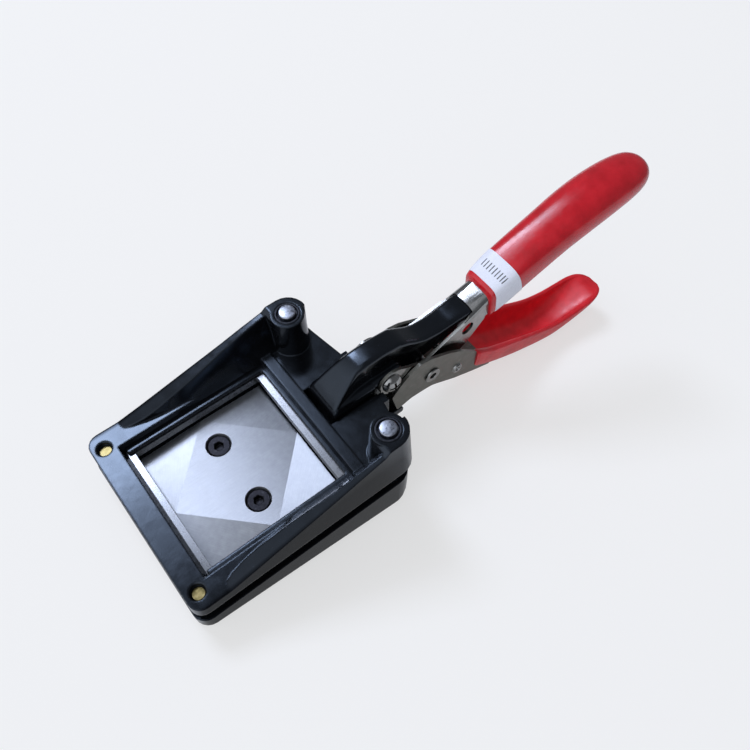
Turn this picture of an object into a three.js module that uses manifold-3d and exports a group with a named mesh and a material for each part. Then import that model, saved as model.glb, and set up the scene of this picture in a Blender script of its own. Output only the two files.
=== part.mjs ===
// Photo punch: a square die set worked by plier handles.
// Millimetres, +Z up, +X towards the handles. The origin is on the base's underside, below the punch centre.
import * as THREE from 'three';
import { mergeVertices } from 'three/addons/utils/BufferGeometryUtils.js';
import Module from 'manifold-3d';

const wasm = await Module();
wasm.setup();

// Working fits and tool overruns
const overrun = 1;
const runningFit = 0.05;
const looseFit = 0.2;
const weldGap = 0.0001;

// Punch and its two socket screws
const punchSide = 50;
const punchTop = 11.8;
const punchFoot = 6.3;
const cornerDrop = 0.7;
const screwOffset = 12.9;
const screwHeadRadius = 4;
const screwHeadTop = 11;
const screwHeadFoot = 7.4;
const screwHeadEdge = 0.4;
const screwShankRadius = 2;
const screwTip = 4.2;
const counterboreRadius = 4.6;
const punchHoleRadius = 2.3;
const socketRadius = 1.75;
const socketDepth = 2;

// Base casting: plan outline as x, half width and corner radius, side outline as x and z
const basePlan = [[-37.8, 37.3, 5], [49, 37.3, 8], [52.5, 13.2, 1]];
const deckTop = 10.35;
const pocketFloor = 9.3;
const pocketHalf = 34.3;
const pocketRear = 34.2;
const baseSide = [[-37.8, 4.835, 0.8], [43, -5.5, 5], [46.5, -2, 3], [52.6, 10.35, 0], [-37.8, 10.35, 1.2]];

// Pedestal and arm: x, half width, low z, high z
const pedestalStations = [
  [36, 7.6, 8, 21], [36.6, 8, 8, 22.4], [38.4, 8, 8, 24], [52.6, 8, 8, 24.2],
];
const overhangStations = [
  [52, 8, 15.2, 24.2], [54.2, 7.9, 15.2, 24.2], [54.3, 7.5, 15.2, 24.2], [66, 7.5, 15.2, 24], [67.4, 6.8, 16, 22.5],
];
const armStations = [
  [36.2, 7.2, 14, 21.4], [37.6, 7.3, 14, 24.2], [41, 6.4, 14, 27.6], [45, 5.4, 14, 31.2], [49, 4.6, 14, 34],
  [54, 4.4, 14, 34.9], [61, 4.4, 14, 34.9], [67.7, 4.4, 14, 34.1], [72, 4.4, 14.2, 31.5], [76, 4.4, 14.5, 28.6],
  [80, 4.4, 15, 26.6], [87, 4.5, 16.6, 25.5], [93, 4.7, 18.3, 26], [98.5, 5, 20, 26.9], [101.4, 5.3, 20.9, 26.6],
];
const tongueStations = [[99, 4.7, 20.4, 25.2], [105.5, 4.7, 22.2, 26.6], [106, 4.2, 22.8, 26.2]];
const castEdge = 1.6;
const tongueEdge = 0.6;

// Guide posts, bushes and return springs
const postX = 43.3;
const postY = 28.9;
const postRadius = 2.9;
const postFoot = -2;
const postTop = 36.9;
const postEdge = 0.5;
const bushRadius = 4.6;
const bushFoot = 22;
const bushTop = 36.7;
const bushCupRadius = 3.7;
const bushCupDepth = 0.9;
const springSeatRadius = 5.3;
const springRadius = 4.15;
const springWireRadius = 0.5;
const springEndGap = 0.08;

// Die frame: plan outline, side outline, walls as x, foot half width, top half width and top z
const framePlan = [[-37.3, 37.3, 4.5], [50.1, 37.3, 7.6], [54.2, 13.2, 1]];
const frameCrown = [[-36.3, 36, 4.5], [49, 36, 7.2], [54, 13.2, 1]];
const frameFoot = 16.7;
const ledgeTop = 21;
const rearFloorTop = 19.8;
const frameSide = [
  [-38, 16.7, 0], [-38, 21, 0], [-24.4, 21, 6], [-15.4, 22.8, 30], [1.7, 26.7, 40], [19, 30.8, 40],
  [27.5, 33.1, 30], [36.8, 35.3, 1.5], [38.6, 37, 1], [57, 37, 0], [57, 16.7, 0],
];
const wallStations = [
  [-24.8, 35.6, 35.8, 21.2], [-23.6, 33.6, 33.8, 21.4], [-21, 32.4, 32.6, 21.8], [-16, 31.4, 31.6, 22.7],
  [-10.5, 30.5, 31.4, 23.9], [-3, 29.6, 31.8, 25.6], [5, 28.4, 32.3, 27.4], [19, 28.4, 33.6, 30.8],
  [27.5, 28.4, 33.9, 33.1], [37.2, 28.4, 34.2, 35.6],
];
const cutHeight = 60;
const windowFront = [-27.3, -28.7];
const windowRear = 29.5;
const windowHalf = [27.2, 28.4];
const crossbarRear = 33.8;
const slotFront = 34.3;
const slotHalf = 8.5;
const bossRadius = 6.2;
const bossFootRadius = 6.9;
const bossTop = 37;
const legHalf = [9.2, 12.9];
const legFront = 53.1;
const legRear = 56.5;
const hookWallTop = 13.6;
const lipFoot = -3.6;
const lipTop = -0.3;
const lipRear = 66;
const lipHalf = 10;
const lipEdge = 1;

// Die plate and its four countersunk screws
const diePlatePlan = [[-35.4, 33.4, 4], [33.1, 33.4, 4]];
const diePlateFoot = 13.5;
const dieGap = 0.1;
const frontScrewX = -32.7;
const rearScrewX = 28;
const dieScrewY = 30.7;
const dieScrewRadius = 2.2;
const dieHeadRadius = 3.4;
const dieHeadDepth = 1.5;
const dieScrewTop = 19.4;
const cornerHoleRadius = 2.5;
const cornerChamfer = 0.5;

// Upper handle, a pressed channel: cheeks as x and z, sheet and widths
const sheet = 1.2;
const earOuter = 8.7;
const channelOuter = 6.2;
const bendX = 67;
const neckX = 108;
const earCentre = [61.8, 20.8];
const earRadius = 6.1;
const earSide = [[57.6, 16.4, 0], [67, 8.5, 0], [67, 24.6, 0], [64.4, 26.3, 0]];
const cheekSide = [
  [67, 8.5, 0], [72, 5.2, 3], [79.3, 3.8, 6], [86, 4.4, 6], [98.6, 8.8, 6], [108, 17.4, 0],
  [108, 29.3, 0], [101.6, 27.1, 0.5], [98.9, 24.4, 3], [80.4, 19.2, 6], [76, 18.6, 5], [67, 24.6, 0],
];
const tailSide = [[108, 18.7, 0], [113, 20.9, 4], [130, 27.6, 0], [130, 34.6, 0], [108, 29.3, 0]];
const channelTop = [[101.6, 27.1], [108, 29.3], [130, 34.6]];
const cheekHole = [98.8, 19.2];
const cheekHoleRadius = 2.2;

// Ear screw and nut
const earScrew = [61, 20.9];
const earShankRadius = 2.4;
const earHeadRadius = 4.1;
const earHeadRise = 2.5;
const crossSlot = 0.9;
const crossReach = 2.3;
const crossDepth = 1.3;
const nutRadius = 4;
const nutHeight = 1.2;
const shankPastNut = 0.2;

// Lower lever, a pressed channel, open upwards, on the tubular pivot rivet
const leverOuter = 10.1;
const leverInner = 8.9;
const leverSide = [
  [63, 0.5, 1], [69.8, 2.5, 8], [79.8, 1.5, 10], [92.4, -5.7, 10], [102.8, -10.4, 0], [112, -14.1, 0.5],
  [112, -4.8, 1], [102.8, 0.2, 0], [102.8, 3.4, 1], [94.4, 12, 8], [87.4, 16.9, 8], [78.6, 21.4, 5],
  [73.2, 22.6, 2], [68.2, 20.2, 3], [64.2, 16.8, 2], [60.3, 12, 1.2],
];
const leverCore = [
  [56, 0.3, 0], [63, 1.8, 1], [69.8, 3.8, 7], [79.5, 2.8, 9], [92, -4.4, 9], [102.4, -9.1, 0], [120, -16.2, 0],
  [120, 40, 0], [56, 40, 0],
];
const pivot = [79.3, 10];
const pivotRadius = 2.5;
const pivotBore = 1.5;
const pivotFlangeRadius = 3.4;
const pivotFlange = 0.8;
const leverRivet = [92.6, 1.6];
const leverRivetRadius = 1.5;
const leverRivetHead = 2.5;
const leverRivetRise = 0.8;

// Upper grip: x, z, half width, half height, slope in degrees and how square the oval is
const gripStations = [
  [109, 24.6, 6.9, 6.7, 4, 5], [109.4, 24.7, 7.5, 7.3, 4, 5], [112, 25.9, 8, 7.4, 8, 4.5], [116, 27.6, 8.5, 7.6, 13, 4],
  [122, 30.1, 8.9, 7.9, 17, 3.4], [132, 33.5, 9.3, 8.2, 18, 2.8], [142, 36.6, 9.6, 8.4, 16, 2.5],
  [152, 39.3, 10, 8.7, 13, 2.4], [162, 41.2, 10.2, 8.8, 9, 2.3], [172, 42.2, 10, 8.4, 4, 2.2],
  [180, 42.5, 9.3, 7.7, 2, 2.2], [185.5, 42.6, 8.1, 6.6, 0, 2.2], [189, 42.6, 6.1, 5, 0, 2.1],
  [191, 42.5, 3.4, 2.8, 0, 2], [191.6, 42.5, 1.2, 1, 0, 2],
];
const bandRise = 0.18;
const bandRows = [2, 5];
const bandStart = [111, 25.45, 7.8, 7.36, 6.4, 4.7];

// Lower grip: x, rim z, bottom z, half width
const troughStations = [
  [102.8, 3.2, -13.2, 10.9], [104.5, 2.6, -14.6, 11.3], [112, -2.6, -19, 11.3], [126, -10, -26.6, 10.9],
  [140, -17.6, -32.6, 10.3], [150, -22.6, -36, 9.9], [156, -24.8, -37, 9.7], [164, -26.5, -36.6, 9.4],
  [172, -27.2, -34.8, 9.2], [179, -27.5, -33, 8.8], [184, -28, -31.8, 7.6], [187.5, -28.8, -31.2, 5.4],
  [189.2, -29.4, -30.8, 2.8],
];
const troughWall = 2.9;
const troughEndX = 184;
const troughSquareness = 2.8;

// Counts and angles
const arcStep = Math.PI / 10;
const roundSides = 32;
const gripSides = 28;
const troughSteps = 14;
const springTurns = 5;
const springSteps = 8;
const springSides = 5;
const hexSides = 6;
const softSteps = 3;

// The volume inside a triangle list, below zero when it is inside out.
function signedVolume(places, faces) {
  const [a, b, c] = [new THREE.Vector3(), new THREE.Vector3(), new THREE.Vector3()];
  let sum = 0;
  for (let i = 0; i < faces.length; i += 3) {
    a.fromBufferAttribute(places, faces[i]);
    b.fromBufferAttribute(places, faces[i + 1]);
    c.fromBufferAttribute(places, faces[i + 2]);
    sum += a.dot(b.cross(c));
  }
  return sum;
}

// A geometry as a closed solid facing out.
function solidOf(geometry) {
  geometry.deleteAttribute('normal');
  geometry.deleteAttribute('uv');
  const welded = mergeVertices(geometry, weldGap);
  const faces = [];
  for (let i = 0; i < welded.index.count; i += 3) {
    const [a, b, c] = [0, 1, 2].map((k) => welded.index.getX(i + k));
    if (a !== b && b !== c && c !== a) {
      faces.push(a, b, c);
    }
  }
  if (signedVolume(welded.attributes.position, faces) < 0) {
    faces.reverse();
  }
  const vertProperties = new Float32Array(welded.attributes.position.array);
  const triVerts = new Uint32Array(faces);
  return new wasm.Manifold(new wasm.Mesh({ numProp: 3, vertProperties, triVerts }));
}

// Corners as x, y and radius turned into a list of points with sampled arcs.
function rounded(corners) {
  const points = [];
  corners.forEach(([x, y, radius = 0], i) => {
    const before = corners[(i + corners.length - 1) % corners.length];
    const after = corners[(i + 1) % corners.length];
    const corner = new THREE.Vector2(x, y);
    const back = new THREE.Vector2(before[0] - x, before[1] - y);
    const ahead = new THREE.Vector2(after[0] - x, after[1] - y);
    const room = Math.min(back.length(), ahead.length()) / 2;
    back.normalize();
    ahead.normalize();
    const half = Math.acos(THREE.MathUtils.clamp(back.dot(ahead), -1, 1)) / 2;
    const reach = Math.min(radius / Math.tan(half), room);
    if (radius === 0 || Math.PI / 2 - half < arcStep / 20) {
      points.push(corner);
      return;
    }
    const size = reach * Math.tan(half);
    const centre = back.clone().add(ahead).normalize().multiplyScalar(size / Math.sin(half)).add(corner);
    const start = back.clone().multiplyScalar(reach).add(corner).sub(centre);
    const end = ahead.clone().multiplyScalar(reach).add(corner).sub(centre);
    const sweep = Math.atan2(start.cross(end), start.dot(end));
    const steps = Math.max(2, Math.ceil(Math.abs(sweep) / arcStep));
    for (let k = 0; k <= steps; k += 1) {
      points.push(start.clone().rotateAround(new THREE.Vector2(), sweep * k / steps).add(centre));
    }
  });
  return points;
}

// A closed plan outline from its half: x, half width, radius.
function bothSides(half) {
  return rounded([...half, ...half.map(([x, y, r]) => [x, -y, r]).reverse()]);
}

function extruded(points, depth) {
  return new THREE.ExtrudeGeometry(new THREE.Shape(points), { depth, bevelEnabled: false });
}

// A plan outline raised from low to high.
function plate(points, low, high) {
  return solidOf(extruded(points, high - low).translate(0, 0, low));
}

// An x and z outline carried across from y low to y high, as a geometry.
function acrossGeometry(points, low, high) {
  return extruded(points, high - low).rotateX(Math.PI / 2).translate(0, high, 0);
}

function across(points, low, high) {
  return solidOf(acrossGeometry(points, low, high));
}

function box(x, y, z) {
  const size = [x, y, z].map(([low, high]) => high - low);
  const middle = [x, y, z].map(([low, high]) => (low + high) / 2);
  return solidOf(new THREE.BoxGeometry(...size).translate(...middle));
}

// A turned solid from radius and height pairs, standing at x and y.
function turned(pairs, x = 0, y = 0) {
  const profile = pairs.map(([radius, height]) => new THREE.Vector2(radius, height));
  const geometry = new THREE.LatheGeometry([...profile, profile[0]], roundSides);
  return solidOf(geometry.rotateX(Math.PI / 2).translate(x, y, 0));
}

// The same with its axis along Y, through x and z; heights are y.
function turnedAcross(pairs, [x, z]) {
  const profile = pairs.map(([radius, height]) => new THREE.Vector2(radius, height));
  const geometry = new THREE.LatheGeometry([...profile, profile[0]], roundSides);
  return solidOf(geometry.translate(x, 0, z));
}

function pin(radius, low, high, x, y) {
  return turned([[0, low], [radius, low], [radius, high], [0, high]], x, y);
}

function pinAcross(radius, low, high, centre) {
  return turnedAcross([[0, low], [radius, low], [radius, high], [0, high]], centre);
}

// Rings of equal count joined into one closed skin with flat ends.
function loft(rings) {
  const size = rings[0].length;
  const faces = [];
  for (let r = 0; r + 1 < rings.length; r += 1) {
    for (let i = 0; i < size; i += 1) {
      const j = (i + 1) % size;
      const [a, b] = [r * size + i, r * size + j];
      const [c, d] = [a + size, b + size];
      faces.push(a, b, d, a, d, c);
    }
  }
  const last = (rings.length - 1) * size;
  for (let i = 1; i + 1 < size; i += 1) {
    faces.push(0, i + 1, i, last, last + i, last + i + 1);
  }
  const geometry = new THREE.BufferGeometry();
  geometry.setAttribute('position', new THREE.Float32BufferAttribute(rings.flat(2), 3));
  geometry.setIndex(faces);
  return solidOf(geometry);
}

// A box section with soft edges at one x.
function softSection([x, half, low, high], edge) {
  const ring = [];
  const centres = [[1, 1], [-1, 1], [-1, -1], [1, -1]];
  centres.forEach(([side, rise], corner) => {
    const y = side * (half - edge);
    const z = rise > 0 ? high - edge : low + edge;
    for (let k = 0; k <= softSteps; k += 1) {
      const angle = (corner + k / softSteps) * Math.PI / 2;
      ring.push([x, y + edge * Math.cos(angle), z + edge * Math.sin(angle)]);
    }
  });
  return ring;
}

function softLoft(stations, edge) {
  return loft(stations.map((station) => softSection(station, edge)));
}

// An oval section of the upper grip, square to its slope.
function gripSection([x, z, wide, high, degrees, squareness], rise = 0) {
  const slope = THREE.MathUtils.degToRad(degrees);
  const ring = [];
  for (let i = 0; i < gripSides; i += 1) {
    const angle = 2 * Math.PI * i / gripSides;
    const [c, s] = [Math.cos(angle), Math.sin(angle)];
    const side = (wide + rise) * Math.sign(c) * Math.abs(c) ** (2 / squareness);
    const up = (high + rise) * Math.sign(s) * Math.abs(s) ** (2 / squareness);
    ring.push([x - up * Math.sin(slope), side, z + up * Math.cos(slope)]);
  }
  return ring;
}

// Half an oval hanging from the rim, for the lower grip.
function troughSection([x, rim, bottom, wide], inset, above) {
  const ring = [[x, wide - inset, rim + above]];
  for (let i = 0; i <= troughSteps; i += 1) {
    const angle = Math.PI * i / troughSteps;
    const [c, s] = [Math.cos(angle), Math.sin(angle)];
    const side = (wide - inset) * Math.sign(c) * Math.abs(c) ** (2 / troughSquareness);
    const down = (rim - bottom - inset) * Math.abs(s) ** (2 / troughSquareness);
    ring.push([x, side, rim - down]);
  }
  ring.push([x, inset - wide, rim + above]);
  return ring;
}

// Both mirror halves of one solid builder that takes the side, 1 or -1.
function pairOf(build) {
  return build(1).add(build(-1));
}

function sideRange(side, low, high) {
  return side > 0 ? [low, high] : [-high, -low];
}

function makeArm() {
  return softLoft(pedestalStations, castEdge)
    .add(softLoft(overhangStations, castEdge))
    .add(softLoft(armStations, castEdge))
    .add(softLoft(tongueStations, tongueEdge));
}

function makeBase() {
  const punchHalf = punchSide / 2;
  let solid = plate(bothSides(basePlan), -cutHeight, deckTop);
  solid = solid.intersect(across(rounded(baseSide), -cutHeight, cutHeight));
  const past = basePlan[0][0] - overrun;
  solid = solid.subtract(box([past, pocketRear], [-pocketHalf, pocketHalf], [pocketFloor, deckTop + overrun]));
  const punchRange = [-punchHalf, punchHalf];
  solid = solid.subtract(box(punchRange, punchRange, [punchFoot, punchTop]));
  solid = solid.add(makeArm());
  for (const side of [1, -1]) {
    solid = solid.subtract(pin(postRadius, postFoot, postTop, postX, side * postY));
    solid = solid.subtract(pin(screwShankRadius, screwTip, punchTop, 0, side * screwOffset));
  }
  return solid.subtract(pinAcross(earShankRadius, -earOuter, earOuter, earScrew));
}

// The flat diamond between the sides' midpoints and four corners ground down for a gradual cut.
function makePunch() {
  const half = punchSide / 2;
  const turn = [[1, 1], [-1, 1], [-1, -1], [1, -1]];
  const places = [];
  turn.forEach(([x, y]) => places.push([x * half, y * half, punchTop - cornerDrop]));
  turn.forEach(([x, y], i) => {
    const [nextX, nextY] = turn[(i + 1) % 4];
    places.push([(x + nextX) / 2 * half, (y + nextY) / 2 * half, punchTop]);
  });
  turn.forEach(([x, y]) => places.push([x * half, y * half, punchFoot]));
  const faces = [4, 5, 6, 4, 6, 7, 8, 10, 9, 8, 11, 10];
  for (let i = 0; i < 4; i += 1) {
    const next = (i + 1) % 4;
    const [corner, middle, before] = [i, 4 + i, 4 + (i + 3) % 4];
    faces.push(corner, middle, before);
    faces.push(corner, 8 + i, middle, middle, 8 + i, 8 + next, middle, 8 + next, next);
  }
  const geometry = new THREE.BufferGeometry();
  geometry.setAttribute('position', new THREE.Float32BufferAttribute(places.flat(), 3));
  geometry.setIndex(faces);
  let solid = solidOf(geometry);
  for (const side of [1, -1]) {
    const y = side * screwOffset;
    solid = solid.subtract(pin(counterboreRadius, screwHeadFoot, punchTop + overrun, 0, y));
    solid = solid.subtract(pin(punchHoleRadius, punchFoot - overrun, punchTop, 0, y));
  }
  return solid;
}

function hexAt(radius, low, high, x, y) {
  const geometry = new THREE.CylinderGeometry(radius, radius, high - low, hexSides);
  return solidOf(geometry.rotateX(Math.PI / 2).translate(x, y, (low + high) / 2));
}

function makePunchScrew(side) {
  const y = side * screwOffset;
  const head = screwHeadTop;
  const solid = turned([
    [0, screwTip], [screwShankRadius, screwTip], [screwShankRadius, screwHeadFoot], [screwHeadRadius, screwHeadFoot],
    [screwHeadRadius, head - screwHeadEdge], [screwHeadRadius - screwHeadEdge, head], [0, head],
  ], 0, y);
  return solid.subtract(hexAt(socketRadius, head - socketDepth, head + overrun, 0, y));
}

function makePost(side) {
  return turned([
    [0, postFoot], [postRadius, postFoot], [postRadius, postTop - postEdge], [postRadius - postEdge, postTop],
    [0, postTop],
  ], postX, side * postY);
}

function makeBush(side) {
  const bore = postRadius + runningFit;
  return turned([
    [bore, bushFoot], [bushRadius, bushFoot], [bushRadius, bushTop], [bushCupRadius, bushTop],
    [bushCupRadius, bushTop - bushCupDepth], [bore, bushTop - bushCupDepth],
  ], postX, side * postY);
}

// A helical wire whose two ends run on straight for one wire diameter.
function makeSpring(side) {
  const low = deckTop + springEndGap + springWireRadius;
  const high = bushFoot - springEndGap - springWireRadius;
  const turns = springTurns * springSteps;
  const path = [];
  for (let i = 0; i <= turns; i += 1) {
    const angle = 2 * Math.PI * i / springSteps;
    const x = postX + springRadius * Math.cos(angle);
    const y = side * postY + springRadius * Math.sin(angle);
    path.push(new THREE.Vector3(x, y, low + (high - low) * i / turns));
  }
  const run = springWireRadius * 2;
  const flat = (a, b) => a.clone().sub(b).setZ(0).normalize().multiplyScalar(run);
  const first = path[0].clone().add(flat(path[0], path[1]));
  const last = path[turns].clone().add(flat(path[turns], path[turns - 1]));
  path.unshift(first);
  path.push(last);
  printSpringGap(path);
  const up = new THREE.Vector3(0, 0, 1);
  const rings = path.map((place, i) => {
    const before = path[Math.max(i - 1, 0)];
    const after = path[Math.min(i + 1, path.length - 1)];
    const along = after.clone().sub(before).normalize();
    const out = along.clone().cross(up).normalize();
    const rise = out.clone().cross(along);
    const ring = [];
    for (let k = 0; k < springSides; k += 1) {
      const angle = 2 * Math.PI * k / springSides;
      const point = place.clone();
      point.addScaledVector(out, springWireRadius * Math.cos(angle));
      point.addScaledVector(rise, springWireRadius * Math.sin(angle));
      ring.push(point.toArray());
    }
    return ring;
  });
  return loft(rings);
}

function printSpringGap(path) {
  let least = cutHeight;
  for (let i = 0; i < path.length; i += 1) {
    for (let j = i + springSteps - 1; j < path.length; j += 1) {
      least = Math.min(least, path[i].distanceTo(path[j]));
    }
  }
  console.log('spring: least gap to itself', (least - 2 * springWireRadius).toFixed(2), 'mm');
}

// The hollow between the side walls: its sides lean out from the foot line to the thin top edge.
function wallHollow() {
  return loft(wallStations.map(([x, foot, top, topZ]) => [
    [x, -foot, ledgeTop], [x, foot, ledgeTop], [x, top, topZ], [x, top, cutHeight],
    [x, -top, cutHeight], [x, -top, topZ],
  ]));
}

function windowCut() {
  const [lowFront, highFront] = windowFront;
  const [lowHalf, highHalf] = windowHalf;
  const ring = (front, half, z) => [
    [front, -half, z], [windowRear, -half, z], [windowRear, half, z], [front, half, z],
  ];
  const wider = windowHalf[1];
  const above = ledgeTop + overrun;
  return loft([ring(lowFront, lowHalf, frameFoot), ring(highFront, highHalf, ledgeTop), ring(highFront, wider, above)])
    .add(loft([ring(lowFront, lowHalf, frameFoot - overrun), ring(lowFront, lowHalf, frameFoot + overrun / 10)]));
}

// The part behind the bosses that reaches down to the lever's nose.
function makeHook() {
  const wall = box([legFront, legRear], [-legHalf[1], legHalf[1]], [lipFoot, hookWallTop]);
  const lip = across(rounded([
    [legFront, lipFoot, 0], [lipRear, lipFoot, lipEdge], [lipRear, lipTop, lipEdge], [legFront, lipTop, 0],
  ]), -lipHalf, lipHalf);
  const legs = pairOf((side) => {
    const range = sideRange(side, legHalf[0], legHalf[1]);
    return box([legFront, legRear], range, [lipFoot, rearFloorTop]);
  });
  return wall.add(lip).add(legs);
}

function makeDieFrame() {
  const rear = framePlan[2][0] + overrun;
  const hollowHalf = wallStations[wallStations.length - 1][1];
  const ring = (plan, z) => bothSides(plan).map(({ x, y }) => [x, y, z]);
  let solid = loft([ring(framePlan, frameFoot), ring(frameCrown, bossTop)]);
  solid = solid.intersect(across(rounded(frameSide), -cutHeight, cutHeight));
  solid = solid.subtract(wallHollow());
  solid = solid.subtract(box([crossbarRear, rear], [-hollowHalf, hollowHalf], [rearFloorTop, cutHeight]));
  solid = solid.subtract(windowCut());
  for (const side of [1, -1]) {
    solid = solid.add(turned([
      [0, frameFoot], [bossFootRadius, frameFoot], [bossRadius, bossTop], [0, bossTop],
    ], postX, side * postY));
  }
  solid = solid.subtract(box([slotFront, rear], [-slotHalf, slotHalf], [frameFoot - overrun, ledgeTop + overrun]));
  solid = solid.add(makeHook());
  for (const side of [1, -1]) {
    const y = side * postY;
    solid = solid.subtract(pin(bushRadius, frameFoot - overrun, bossTop + overrun, postX, y));
    solid = solid.subtract(pin(springSeatRadius, frameFoot - overrun, bushFoot, postX, y));
    solid = solid.subtract(pin(dieScrewRadius, frameFoot - overrun, dieScrewTop, rearScrewX, side * dieScrewY));
    solid = solid.subtract(turned([
      [0, frameFoot - overrun], [dieScrewRadius, frameFoot - overrun], [dieScrewRadius, dieScrewTop],
      [cornerHoleRadius, dieScrewTop], [cornerHoleRadius, ledgeTop - cornerChamfer],
      [cornerHoleRadius + cornerChamfer, ledgeTop], [cornerHoleRadius + cornerChamfer, ledgeTop + overrun],
      [0, ledgeTop + overrun],
    ], frontScrewX, side * dieScrewY));
  }
  return solid;
}

function dieScrewAt(x, y) {
  const neck = diePlateFoot + dieHeadDepth;
  return turned([
    [0, diePlateFoot], [dieHeadRadius, diePlateFoot], [dieScrewRadius, neck], [dieScrewRadius, dieScrewTop],
    [0, dieScrewTop],
  ], x, y);
}

function makeDiePlate() {
  const half = punchSide / 2 + dieGap;
  let solid = plate(bothSides(diePlatePlan), diePlateFoot, frameFoot);
  solid = solid.subtract(box([-half, half], [-half, half], [diePlateFoot - overrun, frameFoot + overrun]));
  for (const side of [1, -1]) {
    solid = solid.subtract(dieScrewAt(frontScrewX, side * dieScrewY));
    solid = solid.subtract(dieScrewAt(rearScrewX, side * dieScrewY));
  }
  return solid;
}

function makeDieScrew(x, side) {
  const solid = dieScrewAt(x, side * dieScrewY);
  return solid.subtract(hexAt(socketRadius, diePlateFoot - overrun, diePlateFoot + socketDepth, x, side * dieScrewY));
}

// One cheek: flat at the ear, leaning in from the bend to the neck, then straight inside the grip.
function makeCheek(side) {
  const lean = (earOuter - channelOuter) / (neckX - bendX);
  const earRange = sideRange(side, earOuter - sheet, earOuter);
  const ear = across(rounded(earSide), ...earRange).add(pinAcross(earRadius, ...earRange, earCentre));
  const middle = acrossGeometry(rounded(cheekSide), ...earRange);
  const places = middle.attributes.position;
  for (let i = 0; i < places.count; i += 1) {
    places.setY(i, places.getY(i) - side * lean * (places.getX(i) - bendX));
  }
  const tail = across(rounded(tailSide), ...sideRange(side, channelOuter - sheet, channelOuter));
  return ear.add(solidOf(middle)).add(tail);
}

function makeUpperHandle() {
  const lean = (earOuter - channelOuter) / (neckX - bendX);
  const roof = loft(channelTop.map(([x, z]) => {
    const half = Math.max(channelOuter, earOuter - lean * (x - bendX)) - sheet / 2;
    return [[x, -half, z - sheet], [x, half, z - sheet], [x, half, z], [x, -half, z]];
  }));
  return makeCheek(1).add(makeCheek(-1)).add(roof)
    .subtract(pinAcross(earShankRadius, -cutHeight, cutHeight, earScrew))
    .subtract(pinAcross(pivotRadius, -cutHeight, cutHeight, pivot))
    .subtract(pinAcross(cheekHoleRadius, -cutHeight, cutHeight, cheekHole));
}

// Round head with a cross recess on the right, shank through both ears.
function makeEarScrew() {
  const head = -earOuter;
  const steps = 5;
  const dome = [];
  for (let i = 0; i <= steps; i += 1) {
    const angle = Math.PI / 2 * i / steps;
    dome.push([earHeadRadius * Math.cos(angle), head - earHeadRise * Math.sin(angle)]);
  }
  const tip = earOuter + nutHeight + shankPastNut;
  const solid = turnedAcross([[0, tip], [earShankRadius, tip], [earShankRadius, head], ...dome], earScrew);
  const [x, z] = earScrew;
  const low = head - earHeadRise - overrun;
  const high = head - earHeadRise + crossDepth;
  const [thin, long] = [crossSlot / 2, crossReach];
  return solid
    .subtract(box([x - thin, x + thin], [low, high], [z - long, z + long]))
    .subtract(box([x - long, x + long], [low, high], [z - thin, z + thin]));
}

function makeEarNut() {
  const geometry = new THREE.CylinderGeometry(nutRadius, nutRadius, nutHeight, hexSides);
  const nut = solidOf(geometry.translate(earScrew[0], earOuter + nutHeight / 2, earScrew[1]));
  return nut.subtract(pinAcross(earShankRadius, 0, cutHeight, earScrew));
}

// A tube through both channels with a flange rolled over at each end.
function makePivot() {
  const face = leverOuter + looseFit / 2;
  const end = face + pivotFlange;
  return turnedAcross([
    [pivotBore, -end], [pivotFlangeRadius - looseFit, -end], [pivotFlangeRadius, -end + looseFit],
    [pivotFlangeRadius, -face], [pivotRadius, -face], [pivotRadius, face], [pivotFlangeRadius, face],
    [pivotFlangeRadius, end - looseFit], [pivotFlangeRadius - looseFit, end], [pivotBore, end],
  ], pivot);
}

function makeLever() {
  return across(rounded(leverSide), -leverOuter, leverOuter)
    .subtract(across(rounded(leverCore), -leverInner, leverInner))
    .subtract(pinAcross(pivotRadius + runningFit, -cutHeight, cutHeight, pivot))
    .subtract(pinAcross(leverRivetRadius, -cutHeight, cutHeight, leverRivet));
}

function makeLeverRivet() {
  const [face, end] = [leverOuter, leverOuter + leverRivetRise];
  const crown = leverRivetHead * 0.6;
  return turnedAcross([
    [0, -end], [crown, -end], [leverRivetHead, -face], [leverRivetRadius, -face], [leverRivetRadius, face],
    [leverRivetHead, face], [crown, end], [0, end],
  ], leverRivet);
}

function makeLowerGrip(lever) {
  const outer = loft(troughStations.map((station) => troughSection(station, 0, 0)));
  const inside = troughStations.filter(([x]) => x < troughEndX);
  const front = [inside[0][0] - overrun, ...inside[0].slice(1)];
  const hollow = loft([front, ...inside].map((station) => troughSection(station, troughWall, overrun * 3)));
  return outer.subtract(hollow).subtract(lever);
}

const gripSolid = loft(gripStations.map((station) => gripSection(station)));

function makeBand() {
  const rows = [bandStart, ...gripStations.slice(...bandRows)];
  return loft(rows.map((station) => gripSection(station, bandRise))).subtract(gripSolid);
}

const photoPunch = new THREE.Group();
photoPunch.name = 'photo_punch';

function addPart(name, solid, look) {
  const mesh = solid.getMesh();
  const geometry = new THREE.BufferGeometry();
  geometry.setAttribute('position', new THREE.BufferAttribute(new Float32Array(mesh.vertProperties), 3));
  geometry.setIndex(new THREE.BufferAttribute(new Uint32Array(mesh.triVerts), 1));
  geometry.computeVertexNormals();
  const part = new THREE.Mesh(geometry, new THREE.MeshStandardMaterial(look));
  part.name = name;
  photoPunch.add(part);
}

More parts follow.
